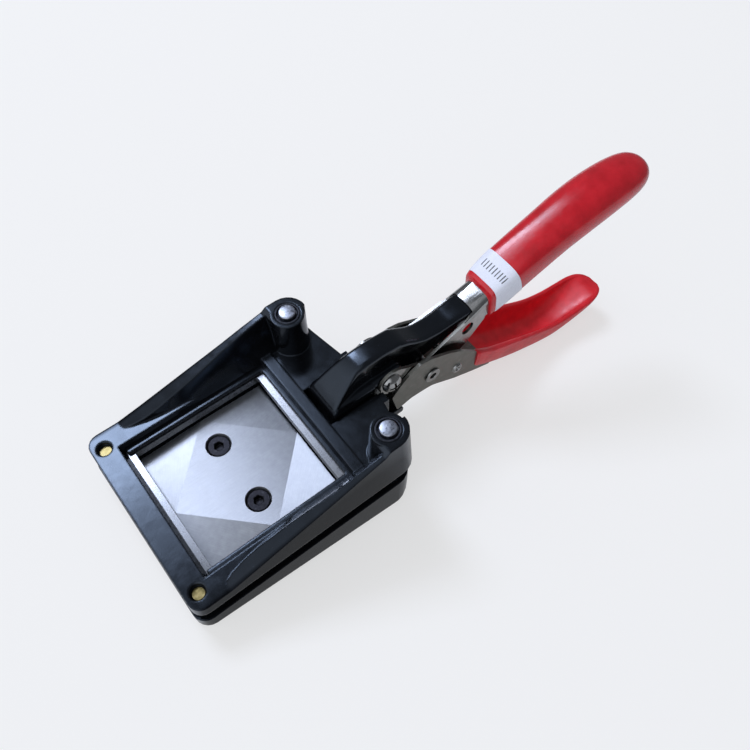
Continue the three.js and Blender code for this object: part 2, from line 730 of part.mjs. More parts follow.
const enamel = { color: 0x17181c, metalness: 0.1, roughness: 0.25 };
const groundSteel = { color: 0xb9bcc6, metalness: 0.9, roughness: 0.3 };
const blackSteel = { color: 0x202024, metalness: 0.6, roughness: 0.4 };
const plated = { color: 0xb4b4ae, metalness: 0.9, roughness: 0.35 };
const greySteel = { color: 0x6e6e6a, metalness: 0.8, roughness: 0.45 };
const redPlastic = { color: 0xc8202e, metalness: 0, roughness: 0.3 };
const paper = { color: 0xe9ebf5, metalness: 0, roughness: 0.8 };

const handle = makeUpperHandle();
const lever = makeLever();
addPart('base_casting', makeBase(), enamel);
addPart('punch_block', makePunch(), groundSteel);
addPart('punch_screw_left', makePunchScrew(1), blackSteel);
addPart('punch_screw_right', makePunchScrew(-1), blackSteel);
addPart('guide_post_left', makePost(1), groundSteel);
addPart('guide_post_right', makePost(-1), groundSteel);
addPart('return_spring_left', makeSpring(1), plated);
addPart('return_spring_right', makeSpring(-1), plated);
addPart('die_frame', makeDieFrame(), enamel);
addPart('die_plate', makeDiePlate(), groundSteel);
addPart('die_screw_front_left', makeDieScrew(frontScrewX, 1), plated);
addPart('die_screw_front_right', makeDieScrew(frontScrewX, -1), plated);
addPart('die_screw_rear_left', makeDieScrew(rearScrewX, 1), plated);
addPart('die_screw_rear_right', makeDieScrew(rearScrewX, -1), plated);
addPart('guide_bush_left', makeBush(1), groundSteel);
addPart('guide_bush_right', makeBush(-1), groundSteel);
addPart('upper_handle', handle, plated);
addPart('ear_screw', makeEarScrew(), plated);
addPart('ear_nut', makeEarNut(), plated);
addPart('pivot_rivet', makePivot(), plated);
addPart('upper_grip', gripSolid.subtract(handle), redPlastic);
addPart('size_band', makeBand(), paper);
addPart('lower_lever', lever, greySteel);
addPart('lever_rivet', makeLeverRivet(), plated);
addPart('lower_grip', makeLowerGrip(lever), redPlastic);

export default photoPunch;
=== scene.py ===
import math

import bmesh
import bpy
from mathutils import Matrix, Vector


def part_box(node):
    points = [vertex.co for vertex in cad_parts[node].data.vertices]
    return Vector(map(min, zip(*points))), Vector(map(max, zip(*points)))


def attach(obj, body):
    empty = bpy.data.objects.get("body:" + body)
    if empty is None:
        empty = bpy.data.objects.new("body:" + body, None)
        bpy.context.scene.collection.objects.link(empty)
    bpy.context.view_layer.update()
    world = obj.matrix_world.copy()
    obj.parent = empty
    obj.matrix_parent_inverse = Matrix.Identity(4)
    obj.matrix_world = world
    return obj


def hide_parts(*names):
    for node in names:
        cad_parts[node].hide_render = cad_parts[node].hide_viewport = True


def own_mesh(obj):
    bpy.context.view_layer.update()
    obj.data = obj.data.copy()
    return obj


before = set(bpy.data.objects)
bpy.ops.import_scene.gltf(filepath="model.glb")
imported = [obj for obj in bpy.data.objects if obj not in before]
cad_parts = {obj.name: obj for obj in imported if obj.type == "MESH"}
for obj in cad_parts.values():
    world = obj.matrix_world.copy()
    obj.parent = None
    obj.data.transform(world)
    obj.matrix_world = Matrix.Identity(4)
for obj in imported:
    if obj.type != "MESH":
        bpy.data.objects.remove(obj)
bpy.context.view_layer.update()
print("frame loaded,", len(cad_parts), "nodes")

mm = 0.001  # the settings below are in mm, the scene's unit is the metre


# Small helpers

def linearColour(code):  # an sRGB hex value as linear RGBA
    parts = [int(code[i:i + 2], 16) / 255 for i in (1, 3, 5)]
    return [c / 12.92 if c <= 0.04045 else ((c + 0.055) / 1.055) ** 2.4 for c in parts] + [1.0]


# inputs are constants by socket name or number, links are outputs that feed a socket
def addNode(tree, kind, settings=None, inputs=None, links=None, ramp=None):
    node = tree.nodes.new(kind)
    for key, value in (settings or {}).items():
        setattr(node, key, value)
    for key, value in (inputs or {}).items():
        node.inputs[key].default_value = value
    for key, source in (links or {}).items():
        tree.links.new(source, node.inputs[key])
    for k, (place, colour) in enumerate(ramp or []):
        stops = node.color_ramp.elements
        stop = stops[k] if k < len(stops) else stops.new(place)
        stop.position = place
        stop.color = colour
    return node


def addMesh(name, points, faces):  # points in mm
    mesh = bpy.data.meshes.new(name)
    mesh.from_pydata([(x * mm, y * mm, z * mm) for x, y, z in points], [], faces)
    mesh.update()
    return mesh


def addObject(name, data):
    thing = bpy.data.objects.new(name, data)
    bpy.context.scene.collection.objects.link(thing)
    return thing


def addPiece(name, mesh, material, body, nodes):
    piece = addObject(name, mesh)
    if not mesh.materials:
        mesh.materials.append(material)
    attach(piece, body)
    if nodes:
        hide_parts(*nodes)
    return piece


# smooth everywhere but over edges sharper than the given angle
def shadeByAngle(mesh, degrees):
    work = bmesh.new()
    work.from_mesh(mesh)
    for face in work.faces:
        face.smooth = True
    for edge in work.edges:
        edge.smooth = edge.calc_face_angle(0) < math.radians(degrees)
    work.to_mesh(mesh)
    work.free()


def addBevel(piece, width, segments=2, degrees=32):
    bevel = piece.modifiers.new("edge round", "BEVEL")
    bevel.width = width * mm
    bevel.segments = segments
    bevel.limit_method = "ANGLE"
    bevel.angle_limit = math.radians(degrees)
    bevel.harden_normals = True
    normals = piece.modifiers.new("even shading", "WEIGHTED_NORMAL")
    normals.keep_sharp = True
    normals.weight = 60


# takes closed shapes away from a welded mesh
def cutAway(mesh, cutters):
    body = addObject("uncut", mesh)
    tools = [addObject("cutter", cutter) for cutter in cutters]
    for tool in tools:
        cut = body.modifiers.new("cut", "BOOLEAN")
        cut.object = tool
        cut.solver = "EXACT"
    made = bpy.data.meshes.new_from_object(body.evaluated_get(bpy.context.evaluated_depsgraph_get()))
    for thing in tools + [body]:
        bpy.data.objects.remove(thing)
    return made


# turns all faces outward, after welding where asked
def faceOut(mesh, weld=False):
    work = bmesh.new()
    work.from_mesh(mesh)
    if weld:
        bmesh.ops.remove_doubles(work, verts=work.verts, dist=1e-6)
    bmesh.ops.recalc_face_normals(work, faces=work.faces)
    work.to_mesh(mesh)
    work.free()
    return mesh


# faces between rings of equal size, and from the last ring to the first where asked
def ringFaces(count, size, closed=False):
    faces = []
    for r in range(count if closed else count - 1):
        low, high = r * size, (r + 1) % count * size
        faces += [(low + i, low + (i + 1) % size, high + (i + 1) % size, high + i) for i in range(size)]
    return faces


# a plan outline raised from low to high
def plateMesh(name, outline, low, high):
    size = len(outline)
    points = [(x, y, z) for z in (low, high) for x, y in outline]
    ends = [tuple(range(size))[::-1], tuple(range(size, size * 2))]
    return faceOut(addMesh(name, points, ends + ringFaces(2, size)))


# a CAD node's mesh as a new object: welded, its flat triangles joined, then its edges rounded
def roundedCopy(name, node, material, body, width, segments=2, degrees=32, cutters=()):
    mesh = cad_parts[node].data.copy()
    mesh.name = name
    mesh.materials.clear()
    for label in ("custom_normal", "UVMap"):
        if label in mesh.attributes:
            mesh.attributes.remove(mesh.attributes[label])
    work = bmesh.new()
    work.from_mesh(mesh)
    bmesh.ops.remove_doubles(work, verts=work.verts, dist=2e-6)
    work.to_mesh(mesh)
    if cutters:
        mesh = cutAway(mesh, cutters)
        mesh.materials.clear()
        work.clear()
        work.from_mesh(mesh)
    bmesh.ops.dissolve_limit(work, angle_limit=math.radians(0.6), verts=work.verts, edges=work.edges)
    work.to_mesh(mesh)
    work.free()
    shadeByAngle(mesh, degrees)
    piece = addPiece(name, mesh, material, body, [node])
    if width:
        addBevel(piece, width, segments, degrees)
    return piece


# corners, each two coordinates and a radius, turned into points with arcs of the given angle step
def roundedLine(corners, closed, step):
    points = []
    count = len(corners)
    for i, (x, y, radius) in enumerate(corners):
        if radius == 0 or (not closed and i in (0, count - 1)):
            points.append((x, y))
            continue
        corner = Vector((x, y))
        back = Vector(corners[i - 1][:2]) - corner
        ahead = Vector(corners[(i + 1) % count][:2]) - corner
        room = min(back.length, ahead.length) / 2
        back.normalize()
        ahead.normalize()
        half = math.acos(max(-1, min(1, back.dot(ahead)))) / 2
        reach = min(radius / math.tan(half), room)
        size = reach * math.tan(half)
        centre = corner + (back + ahead).normalized() * (size / math.sin(half))
        start = corner + back * reach - centre
        end = corner + ahead * reach - centre
        sweep = math.atan2(start.cross(end), start.dot(end))
        steps = max(2, math.ceil(abs(sweep) / step))
        for k in range(steps + 1):
            turn = Matrix.Rotation(sweep * k / steps, 2)
            points.append(tuple(centre + turn @ start))
    return points


# a profile of radius and height turned round an upright axis, or round one along Y
def turnedMesh(name, profile, places, across=False, sides=64):
    points, faces = [], []
    for place in places:
        rings = []
        for radius, height in profile:
            if radius < 1e-6:
                rings.append([len(points)])
                points.append((place[0], height, place[1]) if across else (place[0], place[1], height))
                continue
            ring = []
            for k in range(sides):
                a = 2 * math.pi * k / sides
                ring.append(len(points))
                u, v = radius * math.cos(a), radius * math.sin(a)
                if across:
                    points.append((place[0] + u, height, place[1] - v))
                else:
                    points.append((place[0] + u, place[1] + v, height))
            rings.append(ring)
        pairs = list(zip(rings, rings[1:]))
        if profile[0][0] > 1e-6:
            pairs.append((rings[-1], rings[0]))
        for low, high in pairs:
            for k in range(sides):
                n = (k + 1) % sides
                if len(low) == 1:
                    faces.append((low[0], high[n], high[k]))
                elif len(high) == 1:
                    faces.append((low[k], low[n], high[0]))
                else:
                    faces.append((low[k], low[n], high[n], high[k]))
    mesh = addMesh(name, points, faces)
    shadeByAngle(mesh, 40)
    return mesh


# rows of numbers passed through smoothly, the first number being the place along the row
def easedRows(rows, steps):
    out = []
    for i in range(len(rows) - 1):
        before = rows[max(i - 1, 0)]
        a, b = rows[i], rows[i + 1]
        after = rows[min(i + 2, len(rows) - 1)]
        span = b[0] - a[0]
        for k in range(steps):
            t = k / steps
            row = []
            for j in range(len(a)):
                m0 = (b[j] - before[j]) / max(b[0] - before[0], 1e-9) * span
                m1 = (after[j] - a[j]) / max(after[0] - a[0], 1e-9) * span
                h = 2 * t ** 3 - 3 * t ** 2
                row.append((h + 1) * a[j] + (t ** 3 - 2 * t ** 2 + t) * m0 - h * b[j] + (t ** 3 - t ** 2) * m1)
            out.append(row)
    out.append(list(rows[-1]))
    return out


# rings of equal size joined into a skin, with both ends closed by a fan
def skinnedMesh(name, rings, degrees):
    size = len(rings[0])
    points = [p for ring in rings for p in ring]
    faces = ringFaces(len(rings), size)
    for first, flip in ((0, True), ((len(rings) - 1) * size, False)):
        ring = rings[0] if flip else rings[-1]
        points.append(tuple(sum(p[k] for p in ring) / size for k in range(3)))
        for i in range(size):
            a, b = first + i, first + (i + 1) % size
            faces.append((b, a, len(points) - 1) if flip else (a, b, len(points) - 1))
    mesh = faceOut(addMesh(name, points, faces), True)
    shadeByAngle(mesh, degrees)
    return mesh


# Materials

# an empty node tree on a material or the world
def emptyTree(owner):
    owner.use_nodes = True
    owner.node_tree.nodes.clear()
    return owner.node_tree


def stretched(tree, space, scale, turn=(0, 0, 0)):
    inputs = {"Scale": scale, "Rotation": turn}
    return addNode(tree, "ShaderNodeMapping", inputs=inputs, links={"Vector": space}).outputs["Vector"]


# a Principled material with the object's own place in mm as its pattern space
def startMaterial(name, base, shine):
    material = bpy.data.materials.new(name)
    tree = emptyTree(material)
    colour = linearColour(base)
    shader = addNode(tree, "ShaderNodeBsdfPrincipled", inputs={"Base Color": colour, **shine})
    addNode(tree, "ShaderNodeOutputMaterial", links={"Surface": shader.outputs["BSDF"]})
    place = addNode(tree, "ShaderNodeTexCoord").outputs["Object"]
    material.diffuse_color = colour
    return material, tree, shader, stretched(tree, place, (1000, 1000, 1000))


def noise(tree, space, perMm, detail=3, rough=0.5):
    return addNode(tree, "ShaderNodeTexNoise", inputs={"Scale": perMm, "Detail": detail, "Roughness": rough},
                   links={"Vector": space}).outputs["Fac"]


def ranged(tree, value, low, high, start=0.3, end=0.7):
    return addNode(tree, "ShaderNodeMapRange",
                   inputs={"From Min": start, "From Max": end, "To Min": low, "To Max": high},
                   links={"Value": value}).outputs["Result"]


def tinted(tree, value, stops):
    return addNode(tree, "ShaderNodeValToRGB", links={"Fac": value},
                   ramp=[(place, linearColour(code)) for place, code in stops]).outputs["Color"]


def raised(tree, height, depth, before=None):  # depth in mm
    links = {"Height": height}
    if before:
        links["Normal"] = before
    inputs = {"Strength": 1.0, "Distance": depth * mm}
    return addNode(tree, "ShaderNodeBump", inputs=inputs, links=links).outputs["Normal"]


# a math node whose terms are numbers or outputs
def maths(tree, operation, *terms):
    node = addNode(tree, "ShaderNodeMath", {"operation": operation})
    for k, term in enumerate(terms):
        if isinstance(term, float):
            node.inputs[k].default_value = term
        else:
            tree.links.new(term, node.inputs[k])
    return node.outputs[0]


# a share of a flat colour over what is under it
def painted(tree, share, under, code):
    return addNode(tree, "ShaderNodeMix", {"data_type": "RGBA"}, {7: linearColour(code)},
                   {0: share, 6: under}).outputs[2]


def blended(tree, share, first, second):
    return addNode(tree, "ShaderNodeMix", {"data_type": "FLOAT"}, {0: share}, {2: first, 3: second}).outputs[0]


def feed(tree, shader, colour, roughness, normal=None):
    for key, source in (("Base Color", colour), ("Roughness", roughness), ("Normal", normal)):
        if source:
            tree.links.new(source, shader.inputs[key])


# Stoved enamel on sand castings: near black, glossy, with a soft skin over the cast grain and some dust
def makeEnamel():
    look = {
        "dark": "#060607", "light": "#0c0d10", "castPerMm": 0.11, "castDepth": 0.04,
        "dust": "#1c1e23", "dustPerMm": 1.6, "dustFrom": (0.7, 0.78),  # dust grains, drawn at 0.6 mm to show
        "roughness": (0.12, 0.19), "roughPerMm": 0.25, "peelPerMm": 0.5, "peelDepth": 0.008, "edgeSoft": 0.9,
        "gloss": 0.68, "sideGloss": 0.16, "sides": (35.4, 36.6), "coolReflectionTint": (0.68, 0.82, 1),
    }
    # the cool tint on every reflection of the enamel is a painted tint, standing in for bluish light
    material, tree, shader, space = startMaterial("stoved black enamel", look["dark"], {
        "IOR": 1.42, "Specular IOR Level": look["gloss"], "Specular Tint": (*look["coolReflectionTint"], 1),
    })
    cast = noise(tree, space, look["castPerMm"], 4)
    colour = tinted(tree, cast, [(0.3, look["dark"]), (0.7, look["light"])])
    specks = ranged(tree, noise(tree, space, look["dustPerMm"], 1), 0, 1, *look["dustFrom"])
    # the outer sides stay as they left the mould and take the paint with less gloss
    across = addNode(tree, "ShaderNodeSeparateXYZ", links={"Vector": space}).outputs["Y"]
    gloss = ranged(tree, maths(tree, "ABSOLUTE", across), look["gloss"], look["sideGloss"], *look["sides"])
    tree.links.new(gloss, shader.inputs["Specular IOR Level"])
    # the paint pools over every edge, so edges look rounder than the casting under it
    soft = addNode(tree, "ShaderNodeBevel", {"samples": 6}, {"Radius": look["edgeSoft"] * mm}).outputs["Normal"]
    skin = raised(tree, cast, look["castDepth"], soft)
    feed(tree, shader, painted(tree, specks, colour, look["dust"]),
         ranged(tree, noise(tree, space, look["roughPerMm"], 4), *look["roughness"]),
         raised(tree, noise(tree, space, look["peelPerMm"], 2), look["peelDepth"], skin))
    return material


threeStops = (0.3, 0.55, 0.75)  # where the dark, middle and light shade of a pattern stand


# Surface ground tool steel: fine lines along the wheel's way, so a face shines across them
def makeGroundSteel(name, roughness):
    look = {
        "base": "#b9bfcb", "shades": [(0.3, "#8a8d92"), (0.5, "#9a9da2"), (0.72, "#adb0b4")],
        "linesPerMm": 5, "linesAlong": 0.12, "lineDepth": 0.003, "lineShare": 0.45, "mottlePerMm": 0.45,
    }
    material, tree, shader, space = startMaterial(name, look["base"], {
        "Metallic": 1.0, "Roughness": 0.42, "Anisotropic": 0.95, "Anisotropic Rotation": 0.25,
    })
    way = addNode(tree, "ShaderNodeUVMap", {"uv_map": "grinding"}).outputs["UV"]
    tangent = addNode(tree, "ShaderNodeTangent", {"direction_type": "UV_MAP", "uv_map": "grinding"}).outputs["Tangent"]
    tree.links.new(tangent, shader.inputs["Tangent"])
    lines = noise(tree, stretched(tree, way, (look["linesAlong"], look["linesPerMm"], 1)), 1, 3, 0.6)
    mottle = noise(tree, space, look["mottlePerMm"], 6, 0.65)
    feed(tree, shader, tinted(tree, blended(tree, look["lineShare"], mottle, lines), look["shades"]),
         ranged(tree, mottle, *roughness), raised(tree, lines, look["lineDepth"]))
    return material


# Cold rolled sheet with a dull plate: satin grey, drawn along the handle, lightly scuffed
def makeSheetSteel(name, shades, roughness):
    look = {
        "drawn": (0.1, 2.2, 2.2), "drawnTurn": (0, -0.42, 0), "drawnDepth": 0.008, "drawnShare": 0.4, "cloudPerMm": 0.3,
        "scuffs": (0.5, 0.5, 4), "scuffTurn": (0, 0.6, 0), "scuffPerMm": 0.5, "scuffsFrom": (0.64, 0.72),
    }
    material, tree, shader, space = startMaterial(name, shades[1], {"Metallic": 1.0, "Roughness": roughness[0]})
    drawn = noise(tree, stretched(tree, space, look["drawn"], look["drawnTurn"]), 1, 4, 0.6)
    both = blended(tree, look["drawnShare"], noise(tree, space, look["cloudPerMm"], 5, 0.6), drawn)
    scuffs = noise(tree, stretched(tree, space, look["scuffs"], look["scuffTurn"]), look["scuffPerMm"], 3)
    plain = tinted(tree, both, zip(threeStops, shades))
    feed(tree, shader, painted(tree, ranged(tree, scuffs, 0, 1, *look["scuffsFrom"]), plain, shades[2]),
         ranged(tree, both, *roughness), raised(tree, drawn, look["drawnDepth"]))
    return material


# Dipped PVC: glossy red with a slow flow in its skin, light sinks in a little
def makeRedPvc(name, shades, roughness):
    look = {
        "base": "#c8202e", "flow": (0.5, 1, 1), "flowPerMm": 0.07, "flowDepth": 0.09, "grainPerMm": 0.9,
        "grainDepth": 0.002, "shadePerMm": 0.16, "roughPerMm": 0.4, "sinks": 1.2,
    }
    material, tree, shader, space = startMaterial(name, look["base"], {
        "IOR": 1.53, "Specular IOR Level": 0.5, "Subsurface Weight": 0.04, "Subsurface Radius": (1.0, 0.2, 0.1),
        "Subsurface Scale": look["sinks"] * mm,
    })
    skin = raised(tree, noise(tree, stretched(tree, space, look["flow"]), look["flowPerMm"], 3), look["flowDepth"])
    feed(tree, shader, tinted(tree, noise(tree, space, look["shadePerMm"], 5), zip(threeStops, shades)),
         ranged(tree, noise(tree, space, look["roughPerMm"], 4), *roughness),
         raised(tree, noise(tree, space, look["grainPerMm"], 2), look["grainDepth"], skin))
    return material


# Coated label paper under a strip of clear tape: white, faintly fibrous, with a low sheen
def makeLabelPaper():
    look = {
        "base": "#e9ebf5", "shades": [(0.3, "#dfe1eb"), (0.6, "#eceef7")], "roughness": (0.42, 0.6),
        "fibrePerMm": 1.8, "fibreDepth": 0.01, "crease": (0.3, 1, 1), "creasePerMm": 0.25, "creaseDepth": 0.12,
    }
    material, tree, shader, space = startMaterial("coated label paper", look["base"], {
        "Roughness": 0.5, "IOR": 1.48, "Coat Weight": 0.25, "Coat Roughness": 0.25,
    })
    fibre = noise(tree, space, look["fibrePerMm"], 5, 0.7)
    folds = noise(tree, stretched(tree, space, look["crease"]), look["creasePerMm"], 2)
    feed(tree, shader, tinted(tree, fibre, look["shades"]), ranged(tree, fibre, *look["roughness"]),
         raised(tree, fibre, look["fibreDepth"], raised(tree, folds, look["creaseDepth"])))
    return material


# a finish whose one pattern sets shade and roughness, with relief from that pattern or from a grain of its own
def makeFinish(name, base, shine, look):
    material, tree, shader, space = startMaterial(name, base, shine)
    pattern = noise(tree, stretched(tree, space, look.get("stretch", (1, 1, 1))), *look["pattern"])
    relief = noise(tree, space, *look["grain"]) if "grain" in look else pattern
    feed(tree, shader, tinted(tree, pattern, look["shades"]), ranged(tree, pattern, *look["roughness"]),
         raised(tree, relief, look["depth"]) if "depth" in look else None)
    return material


# Black oxide or phosphate on turned steel: dull near black with paler rubbed patches
def makeDarkSteel(name, shades):
    return makeFinish(name, shades[1], {"Metallic": 1.0, "Roughness": 0.42}, {
        "pattern": (1.3, 5, 0.6), "shades": list(zip((0.35, 0.6, 0.75), shades)), "roughness": (0.34, 0.55),
        "depth": 0.01,
    })


enamel = makeEnamel()
groundSteel = makeGroundSteel("ground tool steel", (0.35, 0.42))
lappedSteel = makeGroundSteel("lapped tool steel", (0.24, 0.32))
# turned and centreless ground pins: rings too fine to see, drawn at 0.3 mm
turnedSteel = makeFinish("turned bright steel", "#c3c7d0", {"Metallic": 1.0, "Roughness": 0.28}, {
    "stretch": (1, 1, 0.1), "pattern": (1.1, 5), "grain": (3.3, 2), "depth": 0.008, "roughness": (0.24, 0.42),
    "shades": [(0.3, "#868b96"), (0.6, "#a6abb6"), (0.8, "#c3c8d1")],
})
blackOxide = makeDarkSteel("black oxide steel", ["#1d1d20", "#303035", "#55565c"])
bushSteel = makeDarkSteel("phosphated bush steel", ["#2b2c30", "#3b3d43", "#575a61"])
nickelSheet = makeSheetSteel("dull nickel plated sheet", ["#838381", "#9c9c9a", "#b8b8b6"], (0.12, 0.2))
leverSheet = makeSheetSteel("grey zinc plated sheet", ["#66665f", "#7b7a74", "#93928b"], (0.36, 0.5))
# yellow zinc on the die screws: gold with a greenish drift, its shades drawn well darker than the pale plate as painted
# shade for the holes the screw ends sit in
holeShadedZinc = makeFinish("yellow zinc plate with painted hole shade", "#c9b67e", {"Metallic": 1.0, "Roughness": 0.33}, {
    "pattern": (0.6, 4), "grain": (2.5, 3), "depth": 0.01, "roughness": (0.28, 0.42),
    "shades": [(0.3, "#5b5233"), (0.55, "#857850"), (0.75, "#9c9773")],
})
# drawn spring wire: grey, with die lines along the coil
springWire = makeFinish("drawn spring wire", "#96979c", {"Metallic": 1.0, "Roughness": 0.35}, {
    "stretch": (0.6, 0.6, 3), "pattern": (1, 4), "depth": 0.01, "roughness": (0.28, 0.45),
    "shades": [(0.3, "#77787d"), (0.7, "#a9aab0")],
})
redPvc = makeRedPvc("dipped red pvc", ["#b8141f", "#c81a26", "#d3222c"], (0.16, 0.26))
# painted light: the lower grip's red is a lighter copy of the dipped red, standing in for the light that falls into its
# trough
litTroughPvc = makeRedPvc("lower grip pvc, painted lighter", ["#cf1a25", "#e0222d", "#ea2c36"], (0.3, 0.42))
labelPaper = makeLabelPaper()
# black printing ink, slightly broken over the paper's fibres
ink = makeFinish("black printing ink", "#1b1c22", {"Roughness": 0.55, "IOR": 1.5}, {
    "pattern": (4, 3), "roughness": (0.45, 0.65), "shades": [(0.35, "#15161b"), (0.8, "#4a4c56")],
})
print("materials made")


# Geometry node tools

def startTree(name, sockets):
    tree = bpy.data.node_groups.new(name, "GeometryNodeTree")
    tree.interface.new_socket("Geometry", in_out="INPUT", socket_type="NodeSocketGeometry")
    for label, kind in sockets:
        tree.interface.new_socket(label, in_out="INPUT", socket_type="NodeSocket" + kind)
    tree.interface.new_socket("Geometry", in_out="OUTPUT", socket_type="NodeSocketGeometry")
    return tree, addNode(tree, "NodeGroupInput").outputs


# a copy of a shape on every point that is given
def spreadShape(tree, given, shape, turn):
    spread = addNode(tree, "GeometryNodeInstanceOnPoints",
                     links={"Points": given["Geometry"], "Instance": shape, "Rotation": turn})
    return addNode(tree, "GeometryNodeRealizeInstances", links={"Geometry": spread.outputs["Instances"]}).outputs[0]


def endTree(tree, given, shape):
    done = addNode(tree, "GeometryNodeSetMaterial", links={"Geometry": shape, "Material": given["Finish"]})
    addNode(tree, "NodeGroupOutput", links={"Geometry": done.outputs[0]})
    return tree


# runs a tree over loose points and keeps the result as a plain mesh
def grown(name, tree, places, values):
    seed = addObject(name + "Places", addMesh(name + "Places", places, []))
    modifier = seed.modifiers.new("grow", "NODES")
    modifier.node_group = tree
    for socket in tree.interface.items_tree:
        if socket.in_out == "INPUT" and socket.name in values:
            modifier[socket.identifier] = values[socket.name]
    made = bpy.data.meshes.new_from_object(seed.evaluated_get(bpy.context.evaluated_depsgraph_get()))
    made.name = name
    bpy.data.objects.remove(seed)
    return made


# a screw hanging from the middle of its head's top: head cone or cylinder, hexagon socket, shank
def makeScrewTree():
    tree, given = startTree("socket screw", [
        ("Head radius", "Float"), ("Neck radius", "Float"), ("Head depth", "Float"), ("Shank radius", "Float"),
        ("Shank length", "Float"), ("Socket radius", "Float"), ("Socket depth", "Float"), ("Turn", "Rotation"),
        ("Finish", "Material"),
    ])

    def cone(sides, top, bottom, depth):
        links = {"Radius Top": given[top], "Radius Bottom": given[bottom], "Depth": depth}
        return addNode(tree, "GeometryNodeMeshCone", inputs={"Vertices": sides}, links=links).outputs["Mesh"]

    def lowered(shape, length):
        down = addNode(tree, "ShaderNodeCombineXYZ", links={"Z": maths(tree, "MULTIPLY", length, -1.0)}).outputs[0]
        return addNode(tree, "GeometryNodeTransform",
                       links={"Geometry": shape, "Translation": down}).outputs["Geometry"]

    head = lowered(cone(64, "Head radius", "Neck radius", given["Head depth"]), given["Head depth"])
    # the cutter stands out of the head as far as it goes in
    cutter = cone(6, "Socket radius", "Socket radius", maths(tree, "MULTIPLY", given["Socket depth"], 2.0))
    cut = addNode(tree, "GeometryNodeMeshBoolean", {"operation": "DIFFERENCE"},
                  links={"Mesh 1": head, "Mesh 2": lowered(cutter, given["Socket depth"])})
    shank = lowered(cone(32, "Shank radius", "Shank radius", given["Shank length"]),
                    maths(tree, "ADD", given["Head depth"], given["Shank length"]))
    whole = addNode(tree, "GeometryNodeJoinGeometry")
    tree.links.new(shank, whole.inputs[0])
    tree.links.new(cut.outputs["Mesh"], whole.inputs[0])
    return endTree(tree, given, spreadShape(tree, given, whole.outputs[0], given["Turn"]))


# short bars laid on the nearest place of a skin, for printed marks
def makeMarkTree():
    tree, given = startTree("printed marks", [
        ("Mark length", "Float"), ("Mark width", "Float"), ("Rise", "Float"), ("Skin", "Object"),
        ("Finish", "Material"),
    ])
    bar = addNode(tree, "GeometryNodeMeshGrid", inputs={"Vertices X": 12, "Vertices Y": 3},
                  links={"Size X": given["Mark length"], "Size Y": given["Mark width"]})
    skin = addNode(tree, "GeometryNodeObjectInfo", links={"Object": given["Skin"]}).outputs["Geometry"]
    normal = addNode(tree, "GeometryNodeInputNormal").outputs[0]
    outward = addNode(tree, "GeometryNodeSampleNearestSurface", {"data_type": "FLOAT_VECTOR"},
                      links={"Mesh": skin, "Value": normal}).outputs["Value"]
    tilt = addNode(tree, "FunctionNodeAlignRotationToVector", {"axis": "Z"}, links={"Vector": outward}).outputs[0]
    bars = spreadShape(tree, given, bar.outputs["Mesh"], tilt)
    close = addNode(tree, "GeometryNodeProximity", {"target_element": "FACES"}, links={0: skin}).outputs["Position"]
    lift = addNode(tree, "ShaderNodeVectorMath", {"operation": "SCALE"}, links={0: outward, "Scale": given["Rise"]})
    where = addNode(tree, "ShaderNodeVectorMath", {"operation": "ADD"}, links={0: close, 1: lift.outputs[0]})
    laid = addNode(tree, "GeometryNodeSetPosition", links={"Geometry": bars, "Position": where.outputs[0]})
    return endTree(tree, given, laid.outputs[0])


screwTree = makeScrewTree()
markTree = makeMarkTree()
print("node tools made")


# Castings

castings = {
    "baseRound": 0.7, "frameRound": 0.6, "segments": 3, "sharpFrom": 36,
    # sweep is where the round begins and ends in degrees, reach the cutter's far corner
    "boss": {"place": (43.3, 28.9), "radius": 7.1, "sweep": (15, -95), "steps": 28, "low": 20.1, "high": 45,
             "reach": (60, 16)},
    "rail": {"x": (-27.1, 27.5, 30.7), "y": (25.6, 28.4), "z": (16.75, 18.2), "round": 0.45},
}


# what is shaved off behind a boss, so that it comes down round
def bossCutter(side):
    b = castings["boss"]
    first, last = (math.radians(v) for v in b["sweep"])
    outline = []
    for k in range(b["steps"] + 1):
        a = first + (last - first) * k / b["steps"]
        outline.append((b["place"][0] + b["radius"] * math.cos(a), side * (b["place"][1] + b["radius"] * math.sin(a))))
    (x, y), (_, far) = b["reach"], outline[0]
    outline += [(outline[-1][0], side * y), (x, side * y), (x, far)]
    return plateMesh("bossCutter", outline, b["low"], b["high"])


roundedCopy("baseCasting", "base_casting", enamel, "base", castings["baseRound"],
            castings["segments"], castings["sharpFrom"])
roundedCopy("dieFrame", "die_frame", enamel, "frame", castings["frameRound"],
            castings["segments"], castings["sharpFrom"], [bossCutter(1), bossCutter(-1)])
# a low rail keeps the die plate down on three sides of the window
r = castings["rail"]
(front, inside, rear), (near, far) = r["x"], r["y"]
railPlan = [(front, -far), (rear, -far), (rear, far), (front, far),
            (front, near), (inside, near), (inside, -near), (front, -near)]
rail = addPiece("windowRail", plateMesh("windowRail", railPlan, *r["z"]), enamel, "frame", [])
addBevel(rail, r["round"], 3)
print("castings made")


# Punch and die

punch = {
    "edge": 0.12, "flatFrom": 0.9999, "sharpFrom": 1.2,  # its facets meet at only 2 degrees
    "diamond": 20, "diamondWay": (1, -0.05, 0),
    # the way of the lines on each corner, by the signs of the corner's place
    "cornerWays": {(-1, 1): (1, 1.5, 0), (1, -1): (1, 0.95, 0), (-1, -1): (1, -1.5, 0), (1, 1): (1, 0.15, 0)},
}
die = {"edge": 0.25, "way": (0, 1, 0)}
# faces whose normal rises less than level are walls, ground along their length
ground = {"level": 0.9, "segments": 2, "sharpFrom": 50}


